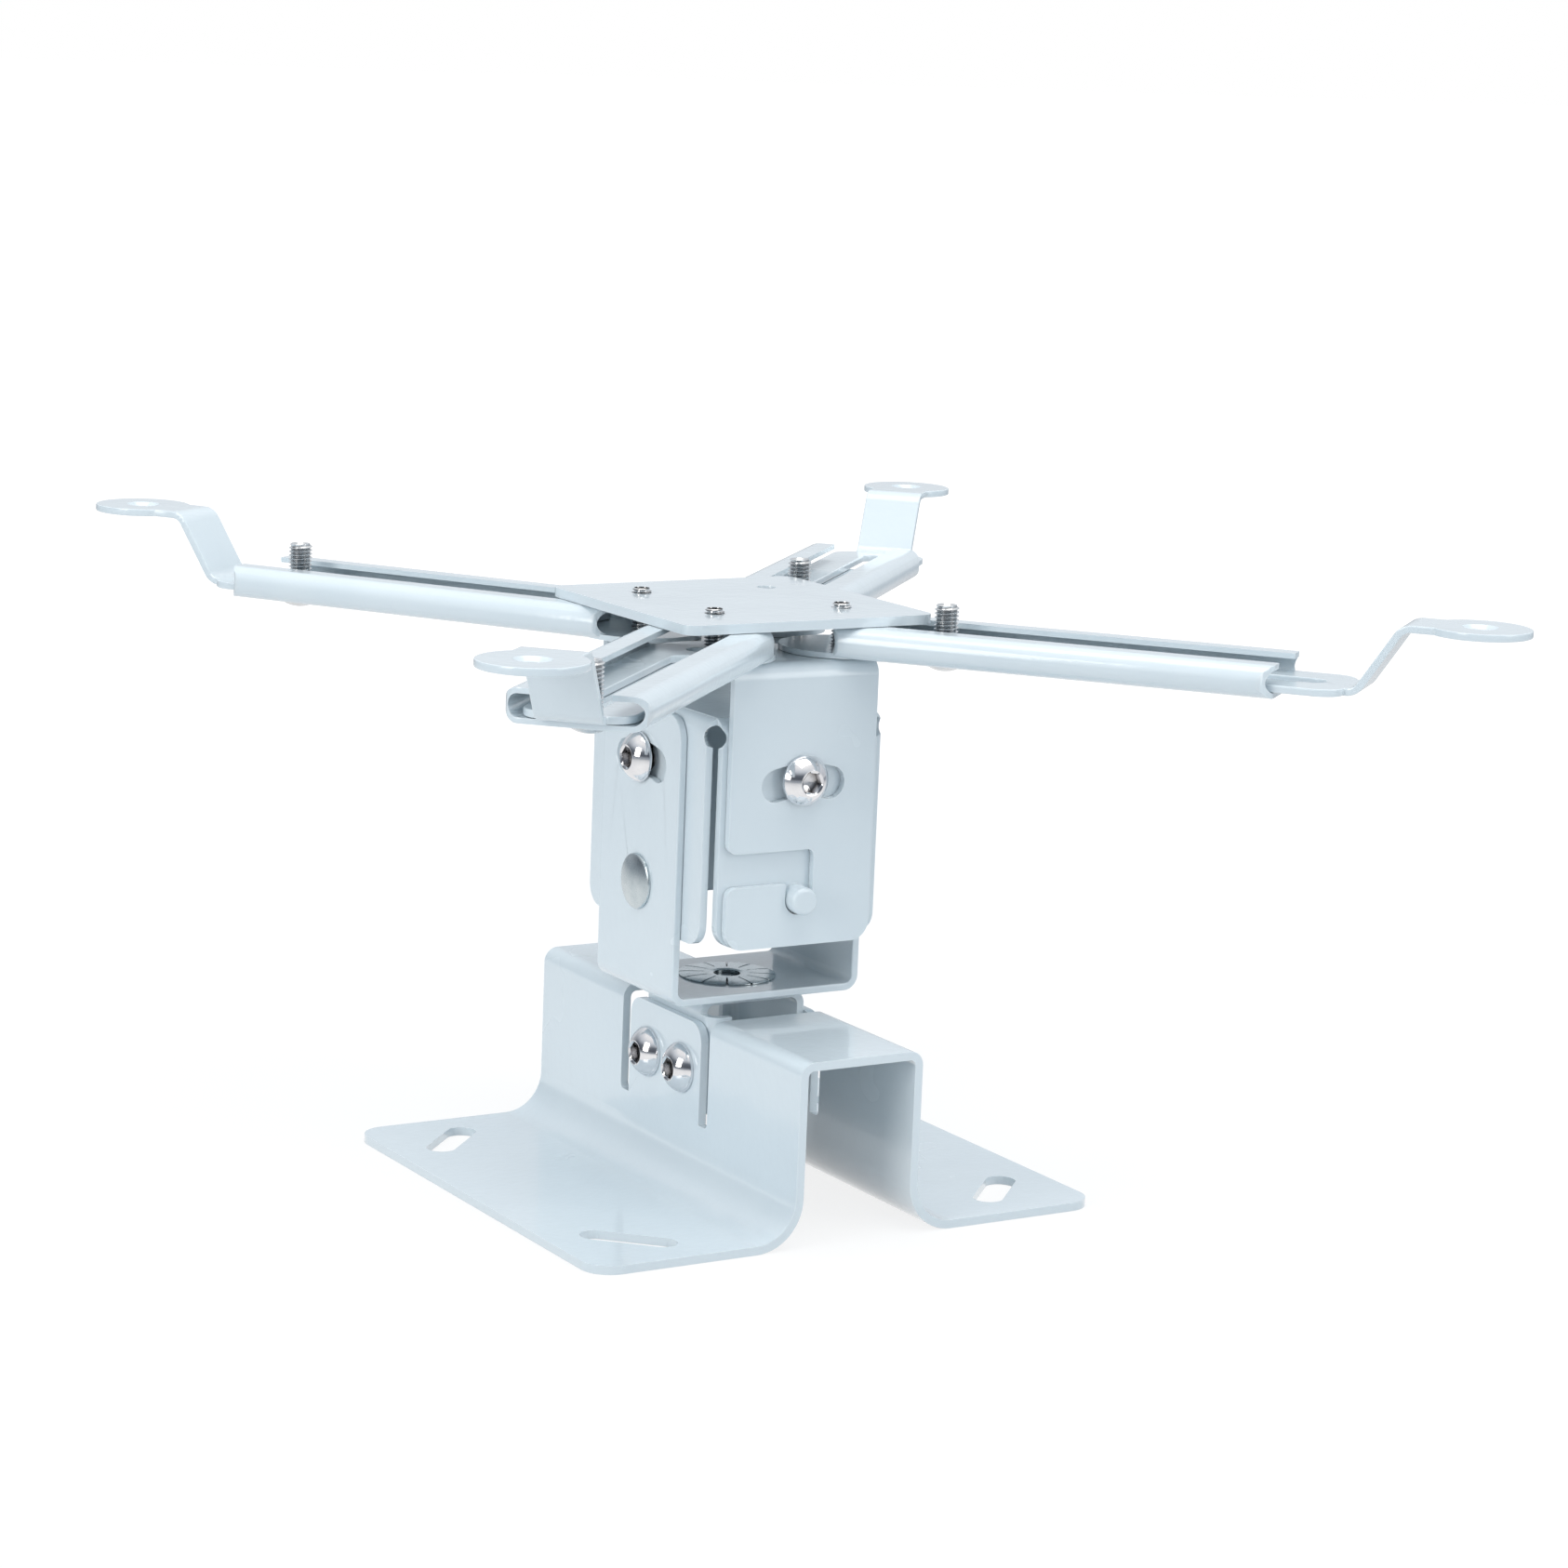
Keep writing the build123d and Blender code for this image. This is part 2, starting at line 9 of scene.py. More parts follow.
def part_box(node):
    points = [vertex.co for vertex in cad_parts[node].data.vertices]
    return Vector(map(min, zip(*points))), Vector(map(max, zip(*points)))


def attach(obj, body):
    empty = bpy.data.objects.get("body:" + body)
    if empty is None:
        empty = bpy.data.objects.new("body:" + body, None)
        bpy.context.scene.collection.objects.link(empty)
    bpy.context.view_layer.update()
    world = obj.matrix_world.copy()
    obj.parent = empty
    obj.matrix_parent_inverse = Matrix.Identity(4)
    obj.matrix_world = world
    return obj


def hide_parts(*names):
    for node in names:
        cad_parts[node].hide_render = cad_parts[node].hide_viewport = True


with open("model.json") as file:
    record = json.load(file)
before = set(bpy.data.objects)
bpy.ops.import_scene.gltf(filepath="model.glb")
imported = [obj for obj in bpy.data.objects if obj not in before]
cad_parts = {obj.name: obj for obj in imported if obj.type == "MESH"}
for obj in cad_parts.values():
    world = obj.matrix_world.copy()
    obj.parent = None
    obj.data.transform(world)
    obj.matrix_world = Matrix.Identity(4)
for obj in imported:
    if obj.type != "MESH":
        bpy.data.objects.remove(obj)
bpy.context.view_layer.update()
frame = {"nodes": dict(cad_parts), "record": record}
nodes = frame["nodes"]

# The camera of the photograph, found from the straight edges of its sheet metal
CAMERA_AZIMUTH = -31.51
CAMERA_ELEVATION = 10.63
CAMERA_ROLL = 2.32
CAMERA_DISTANCE = 0.84825
CAMERA_TARGET_HEIGHT = 0.08329
CAMERA_TARGET_RIGHT = 0.01033
FOCAL_PIXELS = 4405.4
FRAME_PIXELS = 1686.0
SENSOR_WIDTH = 36.0
CLIP_START = 0.01
CLIP_END = 50

# Sheet edges, rounded by the paint
PAINT_ROUND = 0.00028
PAINT_SEGMENTS = 2
ROUNDED_ANGLE = 50
NORMAL_WEIGHT = 100
WELD_DISTANCE = 0.000002
DEGENERATE_EDGE = 0.000001

# The Mix node's sockets for colours
MIX_FACTOR = 0
MIX_FIRST = 6
MIX_SECOND = 7
MIX_RESULT = 2

# The paint
PAINT_DARK = (0.715, 0.79, 0.835)
PAINT_LIGHT = (0.745, 0.815, 0.855)
PAINT_SPECK = (0.64, 0.73, 0.79)
# Painted highlight along the sheet's sharp edges, and how far in from the edge it reaches
PAINT_EDGE_HIGHLIGHT = (0.79, 0.845, 0.875)
PAINT_EDGE_HIGHLIGHT_REACH = 0.0004
PAINT_CLOUDS = 34
PAINT_GRAIN = 420
PAINT_IOR = 1.5
PAINT_COAT = 0.8
PAINT_COAT_ROUGHNESS = 0.05
FINE_PEEL = 620
FINE_PEEL_STRENGTH = 0.22
FINE_PEEL_HEIGHT = 0.00012
BROAD_PEEL = 110
BROAD_PEEL_STRENGTH = 0.18
BROAD_PEEL_HEIGHT = 0.0003

# The bare metals, and the painted shade in their hollows and sockets
CHROME_LIGHT = (0.84, 0.84, 0.85)
CHROME_DARK = (0.74, 0.74, 0.76)
# Painted shade in the screws' sockets and where their heads meet other parts
CHROME_PAINTED_SHADE = (0.07, 0.06, 0.05)
ZINC_LIGHT = (0.82, 0.83, 0.84)
ZINC_DARK = (0.68, 0.69, 0.7)
# Painted shade in the thread roots and other hollows
ZINC_PAINTED_SHADE = (0.12, 0.124, 0.13)
RIVET_LIGHT = (0.62, 0.68, 0.70)
RIVET_DARK = (0.52, 0.59, 0.62)
# Painted shade in the rivets' corners, where their heads meet the sheet
RIVET_PAINTED_SHADE = (0.10, 0.11, 0.12)
SOCKET_SHADE = 0.0018
METAL_CLOUDS = 260
SCRATCHES = 900
SCRATCH_STRENGTH = 0.05
SCRATCH_HEIGHT = 0.00005
EVEN_GRAIN = (1, 1, 1)
LONG_GRAIN = (1, 1, 0.2)

# How rough a metal is, at the least, to a ray from a matt surface
DIFFUSE_ROUGHNESS = 0.75


def make_camera():
    azimuth = math.radians(CAMERA_AZIMUTH)
    elevation = math.radians(CAMERA_ELEVATION)
    roll = math.radians(CAMERA_ROLL)
    back = Vector((
        math.sin(azimuth) * math.cos(elevation),
        -math.cos(azimuth) * math.cos(elevation),
        math.sin(elevation),
    ))
    level = Vector((math.cos(azimuth), math.sin(azimuth), 0))
    above = back.cross(level)
    right = level * math.cos(roll) + above * math.sin(roll)
    up = above * math.cos(roll) - level * math.sin(roll)
    target = Vector((0, 0, CAMERA_TARGET_HEIGHT)) + right * CAMERA_TARGET_RIGHT
    place = target + back * CAMERA_DISTANCE
    data = bpy.data.cameras.new("photo_camera")
    data.sensor_fit = "HORIZONTAL"
    data.sensor_width = SENSOR_WIDTH
    data.lens = FOCAL_PIXELS / FRAME_PIXELS * SENSOR_WIDTH
    data.clip_start = CLIP_START
    data.clip_end = CLIP_END
    camera = bpy.data.objects.new("photo_camera", data)
    camera.matrix_world = Matrix((
        (right.x, up.x, back.x, place.x),
        (right.y, up.y, back.y, place.y),
        (right.z, up.z, back.z, place.z),
        (0, 0, 0, 1),
    ))
    bpy.context.scene.collection.objects.link(camera)
    bpy.context.scene.camera = camera


def new_material(name):
    material = bpy.data.materials.new(name)
    material.use_nodes = True
    tree = material.node_tree
    return material, tree, tree.nodes["Principled BSDF"]


def noise(tree, scale, detail=2.0, roughness=0.5, stretch=(1, 1, 1)):
    place = tree.nodes.new("ShaderNodeTexCoord")
    mapping = tree.nodes.new("ShaderNodeMapping")
    mapping.inputs["Scale"].default_value = stretch
    texture = tree.nodes.new("ShaderNodeTexNoise")
    texture.inputs["Scale"].default_value = scale
    texture.inputs["Detail"].default_value = detail
    texture.inputs["Roughness"].default_value = roughness
    tree.links.new(place.outputs["Object"], mapping.inputs["Vector"])
    tree.links.new(mapping.outputs["Vector"], texture.inputs["Vector"])
    return texture.outputs["Fac"]


def ramp(tree, source, stops):
    made = tree.nodes.new("ShaderNodeValToRGB")
    while len(made.color_ramp.elements) < len(stops):
        made.color_ramp.elements.new(0.5)
    for element, (position, colour) in zip(made.color_ramp.elements, stops):
        element.position = position
        element.color = (*colour, 1)
    tree.links.new(source, made.inputs["Fac"])
    return made.outputs["Color"]


def span(tree, source, low, high, to_low, to_high):
    """A value's range from low to high, mapped onto to_low to to_high and held at both ends."""
    made = tree.nodes.new("ShaderNodeMapRange")
    made.inputs["From Min"].default_value = low
    made.inputs["From Max"].default_value = high
    made.inputs["To Min"].default_value = to_low
    made.inputs["To Max"].default_value = to_high
    tree.links.new(source, made.inputs["Value"])
    return made.outputs["Result"]


def mixed(tree, factor, first, second):
    made = tree.nodes.new("ShaderNodeMix")
    made.data_type = "RGBA"
    tree.links.new(factor, made.inputs[MIX_FACTOR])
    for socket, colour in ((MIX_FIRST, first), (MIX_SECOND, second)):
        if isinstance(colour, tuple):
            made.inputs[socket].default_value = (*colour, 1)
        else:
            tree.links.new(colour, made.inputs[socket])
    return made.outputs[MIX_RESULT]


def bump(tree, height, strength, distance, after=None):
    made = tree.nodes.new("ShaderNodeBump")
    made.inputs["Strength"].default_value = strength
    made.inputs["Distance"].default_value = distance
    tree.links.new(height, made.inputs["Height"])
    if after is not None:
        tree.links.new(after, made.inputs["Normal"])
    return made.outputs["Normal"]


def edge_mask(tree, radius):
    """Where a surface bends sharply within a radius."""
    bevel = tree.nodes.new("ShaderNodeBevel")
    bevel.samples = 4
    bevel.inputs["Radius"].default_value = radius
    geometry = tree.nodes.new("ShaderNodeNewGeometry")
    dot = tree.nodes.new("ShaderNodeVectorMath")
    dot.operation = "DOT_PRODUCT"
    tree.links.new(bevel.outputs["Normal"], dot.inputs[0])
    tree.links.new(geometry.outputs["True Normal"], dot.inputs[1])
    return span(tree, dot.outputs["Value"], 0.99, 0.75, 0, 1)


def powder_coat():
    material, tree, shader = new_material("powder_coat_paint")
    broad = noise(tree, PAINT_CLOUDS, 3)
    fine = noise(tree, PAINT_GRAIN, 4, 0.6)
    colour = ramp(tree, broad, [(0.3, PAINT_DARK), (0.7, PAINT_LIGHT)])
    colour = mixed(tree, span(tree, fine, 0.35, 0.7, 0, 0.05), colour, PAINT_SPECK)
    # Painted highlight: the colour is lightened along sharp edges
    colour = mixed(tree, edge_mask(tree, PAINT_EDGE_HIGHLIGHT_REACH), colour, PAINT_EDGE_HIGHLIGHT)
    tree.links.new(colour, shader.inputs["Base Color"])
    tree.links.new(span(tree, broad, 0.3, 0.7, 0.2, 0.28), shader.inputs["Roughness"])
    shader.inputs["IOR"].default_value = PAINT_IOR
    shader.inputs["Coat Weight"].default_value = PAINT_COAT
    shader.inputs["Coat Roughness"].default_value = PAINT_COAT_ROUGHNESS
    peel = bump(tree, noise(tree, FINE_PEEL, 2, 0.45), FINE_PEEL_STRENGTH, FINE_PEEL_HEIGHT)
    peel = bump(tree, noise(tree, BROAD_PEEL, 2, 0.5), BROAD_PEEL_STRENGTH, BROAD_PEEL_HEIGHT, peel)
    tree.links.new(peel, shader.inputs["Normal"])
    tree.links.new(peel, shader.inputs["Coat Normal"])
    return material


def hollows(tree):
    """Where a surface curves inward: the mask for painted shade in thread roots and other hollows."""
    geometry = tree.nodes.new("ShaderNodeNewGeometry")
    return span(tree, geometry.outputs["Pointiness"], 0.53, 0.43, 0, 0.9)


def corners(tree, reach):
    """Where a piece's own walls stand close around a place: the mask for painted shade in sockets and
    corners.
    """
    shade = tree.nodes.new("ShaderNodeAmbientOcclusion")
    shade.samples = 8
    shade.only_local = True
    shade.inputs["Distance"].default_value = reach
    return span(tree, shade.outputs["AO"], 0.9, 0.45, 0, 0.94)


def larger(tree, first, second, scale):
    """The larger of a value and a scaled value."""
    scaled = tree.nodes.new("ShaderNodeMath")
    scaled.operation = "MULTIPLY"
    scaled.inputs[1].default_value = scale
    tree.links.new(second, scaled.inputs[0])
    made = tree.nodes.new("ShaderNodeMath")
    made.operation = "MAXIMUM"
    tree.links.new(first, made.inputs[0])
    tree.links.new(scaled.outputs[0], made.inputs[1])
    return made.outputs[0]


def plated(name, light, dark, rough_low, rough_high, grain, hollow_shade=None, corner_shade=None):
    material, tree, shader = new_material(name)
    broad = noise(tree, METAL_CLOUDS, 4, 0.6)
    scratches = noise(tree, SCRATCHES, 3, 0.7, grain)
    colour = ramp(tree, broad, [(0.32, dark), (0.68, light)])
    if hollow_shade:
        # Painted shade: the colour is darkened where the surface curves inward
        colour = mixed(tree, hollows(tree), colour, hollow_shade)
    if corner_shade:
        # Painted shade: the colour is darkened where the piece's own walls close round a place
        colour = mixed(tree, corners(tree, SOCKET_SHADE), colour, corner_shade)
    tree.links.new(colour, shader.inputs["Base Color"])
    shader.inputs["Metallic"].default_value = 1
    path = tree.nodes.new("ShaderNodeLightPath")
    rough = span(tree, scratches, 0.3, 0.7, rough_low, rough_high)
    rough = larger(tree, rough, path.outputs["Is Diffuse Ray"], DIFFUSE_ROUGHNESS)
    tree.links.new(rough, shader.inputs["Roughness"])
    tree.links.new(bump(tree, scratches, SCRATCH_STRENGTH, SCRATCH_HEIGHT), shader.inputs["Normal"])
    return material


def soften(piece):
    weld = piece.modifiers.new("weld", "WELD")
    weld.merge_threshold = WELD_DISTANCE
    bevel = piece.modifiers.new("edges", "BEVEL")
    bevel.width = PAINT_ROUND
    bevel.segments = PAINT_SEGMENTS
    bevel.limit_method = "ANGLE"
    bevel.angle_limit = math.radians(ROUNDED_ANGLE)
    bevel.use_clamp_overlap = True
    bevel.harden_normals = False
    bevel.miter_outer = "MITER_ARC"
    level = piece.modifiers.new("level", "WEIGHTED_NORMAL")
    level.keep_sharp = True
    level.weight = NORMAL_WEIGHT


def paint(piece, material):
    for place in piece.material_slots:
        place.material = material


# The studio: how bright its walls are, and the side of it that is dark in reflections
LIT_STRENGTH = 0.88
DARK_SIDE = (-0.9, -0.43, 0)
DARK_SIDE_BLEND = 0.35

# Its colours by height, from 0 straight down to 1 straight up
SKY = [
    (0.35, (0.46, 0.55, 0.62)),
    (0.55, (0.46, 0.55, 0.62)),
    (0.85, (0.60, 0.68, 0.75)),
]
REAR_WALL = [
    (0.5, (0.62, 0.64, 0.67)),
    (0.62, (0.66, 0.69, 0.73)),
    (0.75, (0.74, 0.78, 0.82)),
    (0.9, (1.0, 1.0, 1.0)),
]
FRONT_WALL = [
    (0.5, (0.30, 0.33, 0.37)),
    (0.56, (0.09, 0.10, 0.12)),
    (0.68, (0.14, 0.16, 0.19)),
    (0.8, (0.66, 0.70, 0.75)),
    (0.9, (1.0, 1.0, 1.0)),
]

# The floor: where its shadowed middle fades to white, and how it darkens in reflections
FLOOR_HALF = 12.0
FLOOR_DROP = 0.00005
FLOOR_WHITE = 1.16
FADE_START = 0.3
FADE_END = 0.7
FADE_LEAST = 0.72
MIRROR_START = 0.15
MIRROR_END = 0.9
FLOOR_PAPER = (0.60, 0.61, 0.62)
FLOOR_FAR = (0.36, 0.39, 0.43)

# The lamps
LAMP_AIM = (0, 0, 0.08)
LAMP_COLOUR = (1.0, 0.975, 0.94)


def blended(tree, factor, first, second):
    made = tree.nodes.new("ShaderNodeMixShader")
    tree.links.new(factor, made.inputs[0])
    tree.links.new(first.outputs[0], made.inputs[1])
    tree.links.new(second.outputs[0], made.inputs[2])
    return made


def make_world():
    world = bpy.data.worlds.new("studio")
    world.use_nodes = True
    bpy.context.scene.world = world
    tree = world.node_tree
    tree.nodes.clear()
    out = tree.nodes.new("ShaderNodeOutputWorld")
    path = tree.nodes.new("ShaderNodeLightPath")
    place = tree.nodes.new("ShaderNodeTexCoord")
    parts = tree.nodes.new("ShaderNodeSeparateXYZ")
    tree.links.new(place.outputs["Generated"], parts.inputs["Vector"])
    seen = tree.nodes.new("ShaderNodeBackground")
    seen.inputs["Color"].default_value = (1, 1, 1, 1)
    seen.inputs["Strength"].default_value = 1
    lit = tree.nodes.new("ShaderNodeBackground")
    height = span(tree, parts.outputs["Z"], -1, 1, 0, 1)
    tree.links.new(ramp(tree, height, SKY), lit.inputs["Color"])
    lit.inputs["Strength"].default_value = LIT_STRENGTH
    shiny = tree.nodes.new("ShaderNodeBackground")
    rear_wall = ramp(tree, height, REAR_WALL)
    front_wall = ramp(tree, height, FRONT_WALL)
    ahead = tree.nodes.new("ShaderNodeVectorMath")
    ahead.operation = "DOT_PRODUCT"
    ahead.inputs[1].default_value = DARK_SIDE
    tree.links.new(place.outputs["Generated"], ahead.inputs[0])
    side = span(tree, ahead.outputs["Value"], -DARK_SIDE_BLEND, DARK_SIDE_BLEND, 0, 1)
    mirror = mixed(tree, side, rear_wall, front_wall)
    tree.links.new(mirror, shiny.inputs["Color"])
    shiny.inputs["Strength"].default_value = 1
    bounced = blended(tree, path.outputs["Is Glossy Ray"], lit, shiny)
    surface = blended(tree, path.outputs["Is Camera Ray"], bounced, seen)
    tree.links.new(surface.outputs[0], out.inputs["Surface"])


def make_floor():
    mesh = bpy.data.meshes.new("floor")
    square = [(-1, -1), (1, -1), (1, 1), (-1, 1)]
    mesh.from_pydata([(x * FLOOR_HALF, y * FLOOR_HALF, 0) for x, y in square], [], [(0, 1, 2, 3)])
    floor = bpy.data.objects.new("floor", mesh)
    floor.location = (0, 0, -FLOOR_DROP)
    bpy.context.scene.collection.objects.link(floor)
    material = bpy.data.materials.new("floor_paper")
    material.use_nodes = True
    tree = material.node_tree
    tree.nodes.clear()
    out = tree.nodes.new("ShaderNodeOutputMaterial")
    path = tree.nodes.new("ShaderNodeLightPath")
    place = tree.nodes.new("ShaderNodeTexCoord")
    away = tree.nodes.new("ShaderNodeVectorMath")
    away.operation = "LENGTH"
    tree.links.new(place.outputs["Object"], away.inputs[0])
    paper = tree.nodes.new("ShaderNodeBsdfDiffuse")
    paper.inputs["Color"].default_value = (*FLOOR_PAPER, 1)
    white = tree.nodes.new("ShaderNodeEmission")
    white.inputs["Color"].default_value = (1, 1, 1, 1)
    white.inputs["Strength"].default_value = FLOOR_WHITE
    fade = span(tree, away.outputs["Value"], FADE_START, FADE_END, FADE_LEAST, 1)
    mirrored = tree.nodes.new("ShaderNodeEmission")
    far = span(tree, away.outputs["Value"], MIRROR_START, MIRROR_END, 0, 1)
    shade = ramp(tree, far, [(0, (1, 1, 1)), (1, FLOOR_FAR)])
    tree.links.new(shade, mirrored.inputs["Color"])
    seen = blended(tree, fade, paper, white)
    bounced = blended(tree, path.outputs["Is Glossy Ray"], paper, mirrored)
    surface = blended(tree, path.outputs["Is Camera Ray"], bounced, seen)
    tree.links.new(surface.outputs[0], out.inputs["Surface"])
    mesh.materials.append(material)


def area_light(name, place, size, watts):
    data = bpy.data.lights.new(name, "AREA")
    data.shape = "RECTANGLE"
    data.size, data.size_y = size
    data.energy = watts
    data.color = LAMP_COLOUR
    lamp = bpy.data.objects.new(name, data)
    lamp.location = place
    lamp.rotation_mode = "QUATERNION"
    lamp.rotation_quaternion = (Vector(LAMP_AIM) - Vector(place)).to_track_quat("-Z", "Y")
    bpy.context.scene.collection.objects.link(lamp)


def make_lights():
    area_light("top_box", (0.1, -0.3, 2.6), (2.2, 2.2), 39.0)
    area_light("right_box", (0.75, -1.25, 0.55), (0.7, 0.9), 4.0)
    area_light("left_box", (-1.45, -0.35, 0.6), (0.6, 0.9), 7.8)


coat = powder_coat()
chrome = plated("bright_nickel", CHROME_LIGHT, CHROME_DARK, 0.06, 0.14, EVEN_GRAIN, corner_shade=CHROME_PAINTED_SHADE)
zinc = plated("zinc_plating", ZINC_LIGHT, ZINC_DARK, 0.16, 0.3, LONG_GRAIN, hollow_shade=ZINC_PAINTED_SHADE)
rivet = plated("rivet_zinc", RIVET_LIGHT, RIVET_DARK, 0.18, 0.3, EVEN_GRAIN, corner_shade=RIVET_PAINTED_SHADE)
finishes = {"powder_coat": coat, "bright_screws": chrome, "rivets": rivet, "zinc_threads": zinc}
for piece in nodes.values():
    paint(piece, finishes[piece.material_slots[0].material.name])
    if piece.material_slots[0].material is coat:
        soften(piece)

# Threaded screws and studs, in place of the plain solids
THREAD_AROUND = 28
# One turn's outline: how far along the pitch, and how deep
THREAD_STEPS = ((0.0, 0.0), (0.1, 0.0), (0.44, 1.0), (0.66, 1.0))
END_FLAT = 0.0006
DIMPLE_SLOPE = 0.0004
DIMPLE_DEPTH = 0.00035
THREAD_DEPTH_SHARE = 0.61
THREAD_OVERLAP = 0.0005
SIDES_OF_AN_END = 8
SHARP_ANGLE = 40
ARMS = ("left", "front", "right", "rear")


def threaded(foot, top, radius, pitch, end_chamfer, foot_chamfer=0.0):
    """A helical thread along Z, with a dimple in its upper end."""
    depth = THREAD_DEPTH_SHARE * pitch
    made = bmesh.new()
    turns = int((top - foot) / pitch) + 2
    rows = []
    for turn in range(-1, turns):
        for share, deep in THREAD_STEPS:
            row = []
            for index in range(THREAD_AROUND + 1):
                part = index / THREAD_AROUND
                height = min(max(foot + (turn + share + part) * pitch, foot), top)
                reach = radius - depth * deep
                reach = min(reach, radius - end_chamfer + (top - height))
                reach = min(reach, radius - foot_chamfer + (height - foot))
                angle = part * 2 * math.pi
                row.append(made.verts.new((reach * math.cos(angle), reach * math.sin(angle), height)))
            rows.append(row)
    for low, high in zip(rows, rows[1:]):
        for index in range(THREAD_AROUND):
            made.faces.new((low[index], low[index + 1], high[index + 1], high[index]))
    bmesh.ops.remove_doubles(made, verts=made.verts, dist=WELD_DISTANCE)
    bmesh.ops.dissolve_degenerate(made, edges=made.edges, dist=DEGENERATE_EDGE)
    edges = [edge for edge in made.edges if edge.is_boundary]
    bmesh.ops.holes_fill(made, edges=edges, sides=0)
    bmesh.ops.recalc_face_normals(made, faces=made.faces)
    ends = [face for face in made.faces if len(face.verts) > SIDES_OF_AN_END]
    end = max(ends, key=lambda face: face.calc_center_median().z)
    bmesh.ops.inset_individual(made, faces=[end], thickness=END_FLAT)
    bmesh.ops.inset_individual(made, faces=[end], thickness=DIMPLE_SLOPE, depth=-DIMPLE_DEPTH)
    return made


def ring_at(made, height, reach_at, around):
    ring = []
    for index in range(around):
        angle = index * 2 * math.pi / around
        reach, rise = reach_at(angle)
        ring.append(made.verts.new((reach * math.cos(angle), reach * math.sin(angle), height + rise)))
    return ring


def skin(made, rings, around):
    for low, high in zip(rings, rings[1:]):
        for index in range(around):
            after = (index + 1) % around
            if len(low) == 1:
                made.faces.new((low[0], high[after], high[index]))
            elif len(high) == 1:
                made.faces.new((low[index], low[after], high[0]))
            else:
                made.faces.new((low[index], low[after], high[after], high[index]))


def lathe(made, outline, around=40):
    rings = []
    for radius, height in outline:
        if radius <= 0:
            rings.append([made.verts.new((0, 0, height))])
        else:
            rings.append(ring_at(made, height, lambda angle: (radius, 0), around))
    skin(made, rings, around)


def merge_into(whole, made):
    mesh = bpy.data.meshes.new("merged")
    made.to_mesh(mesh)
    made.free()
    whole.from_mesh(mesh)
    bpy.data.meshes.remove(mesh)


def as_object(made, name, material, sharp=SHARP_ANGLE):
    mesh = bpy.data.meshes.new(name)
    bmesh.ops.recalc_face_normals(made, faces=made.faces)
    made.to_mesh(mesh)
    made.free()
    mesh.polygons.foreach_set("use_smooth", [True] * len(mesh.polygons))
    mesh.set_sharp_from_angle(angle=math.radians(sharp))
    mesh.materials.append(material)
    piece = bpy.data.objects.new(name, mesh)
    bpy.context.scene.collection.objects.link(piece)
    return piece


def stand_in(name, node, made, material, body):
    low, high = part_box(node)
    centre = (low + high) / 2
    bmesh.ops.translate(made, verts=made.verts, vec=(centre.x, centre.y, 0))
    piece = as_object(made, name, material)
    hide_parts(node)
    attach(piece, body)
    return piece


def body_holding(node):
    bodies = frame["record"]["behaviour"]["bodies"]
    return next(body for body, members in bodies.items() if node in members)


def dome(radius, height, foot, steps=10):
    ball = (radius * radius + height * height) / (2 * height)
    points = []
    for step in range(steps + 1):
        reach = radius * math.cos(step / steps * math.pi / 2)
        points.append((max(reach, 0), foot + math.sqrt(ball * ball - reach * reach) - (ball - height)))
    return points


M4_RADIUS = 0.002
M4_PITCH = 0.0007
M5_RADIUS = 0.0025
M5_PITCH = 0.0008
M6_RADIUS = 0.003
M6_PITCH = 0.001
STUD_HEAD_HEIGHT = 0.0023
STUD_HEAD_RIM = 0.0003
STUD_HEAD_EDGE = 0.0002
STUD_CHAMFER = 0.0005
STUD_SHORTER = 0.0021
PIVOT_HEAD_HEIGHT = 0.0024
PIVOT_CHAMFER = 0.0004
PIVOT_RIM = 0.0008
PIVOT_AROUND = 72
PIVOT_STEPS = 26
PIVOT_SINK = 0.0006
MIDDLE = 0.00005
CROSS_WIDTH = 0.001
CROSS_LENGTH = 0.0042
CROSS_DEPTH = 0.0013
CROSS_SLOPE = 0.0003

for side in ARMS:
    node = "lock_stud_" + side
    low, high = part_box(node)
    head_radius = (high.x - low.x) / 2
    seat = low.z + STUD_HEAD_HEIGHT
    made = threaded(seat - THREAD_OVERLAP, high.z - STUD_SHORTER, M5_RADIUS, M5_PITCH, STUD_CHAMFER)
    upward = dome(head_radius, STUD_HEAD_HEIGHT - STUD_HEAD_RIM, seat + STUD_HEAD_RIM)
    outline = [(reach, 2 * seat - height) for reach, height in upward]
    lathe(made, [(0, seat), (head_radius - STUD_HEAD_EDGE, seat)] + outline)
    stand_in("stud_" + side, node, made, zinc, body_holding(node))


def cross_cut(x, y):
    """How deep the cross recess is at a place on a screw's head."""
    x, y = abs(x), abs(y)
    half, reach = CROSS_WIDTH / 2, CROSS_LENGTH / 2
    inside = -min(max(x - half, y - reach), max(y - half, x - reach))
    return CROSS_DEPTH * min(max(inside / CROSS_SLOPE, 0), 1)


for side in ARMS:
    node = "pivot_screw_" + side
    low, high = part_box(node)
    head_radius = (high.x - low.x) / 2
    seat = low.z + PIVOT_HEAD_HEIGHT
    made = threaded(seat - THREAD_OVERLAP, high.z - PIVOT_SINK, M4_RADIUS, M4_PITCH, PIVOT_CHAMFER)
    rings = [
        [made.verts.new((0, 0, seat))],
        ring_at(made, seat, lambda angle: (head_radius, 0), PIVOT_AROUND),
    ]
    for reach, rise in dome(head_radius, PIVOT_HEAD_HEIGHT - PIVOT_RIM, PIVOT_RIM, PIVOT_STEPS):
        if reach < MIDDLE:
            rings.append([made.verts.new((0, 0, seat - rise + CROSS_DEPTH))])
            continue
        rings.append(ring_at(
            made, seat - rise,
            lambda angle: (reach, cross_cut(reach * math.cos(angle), reach * math.sin(angle))),
            PIVOT_AROUND,
        ))
    skin(made, rings, PIVOT_AROUND)
    stand_in("pivot_" + side, node, made, zinc, body_holding(node))

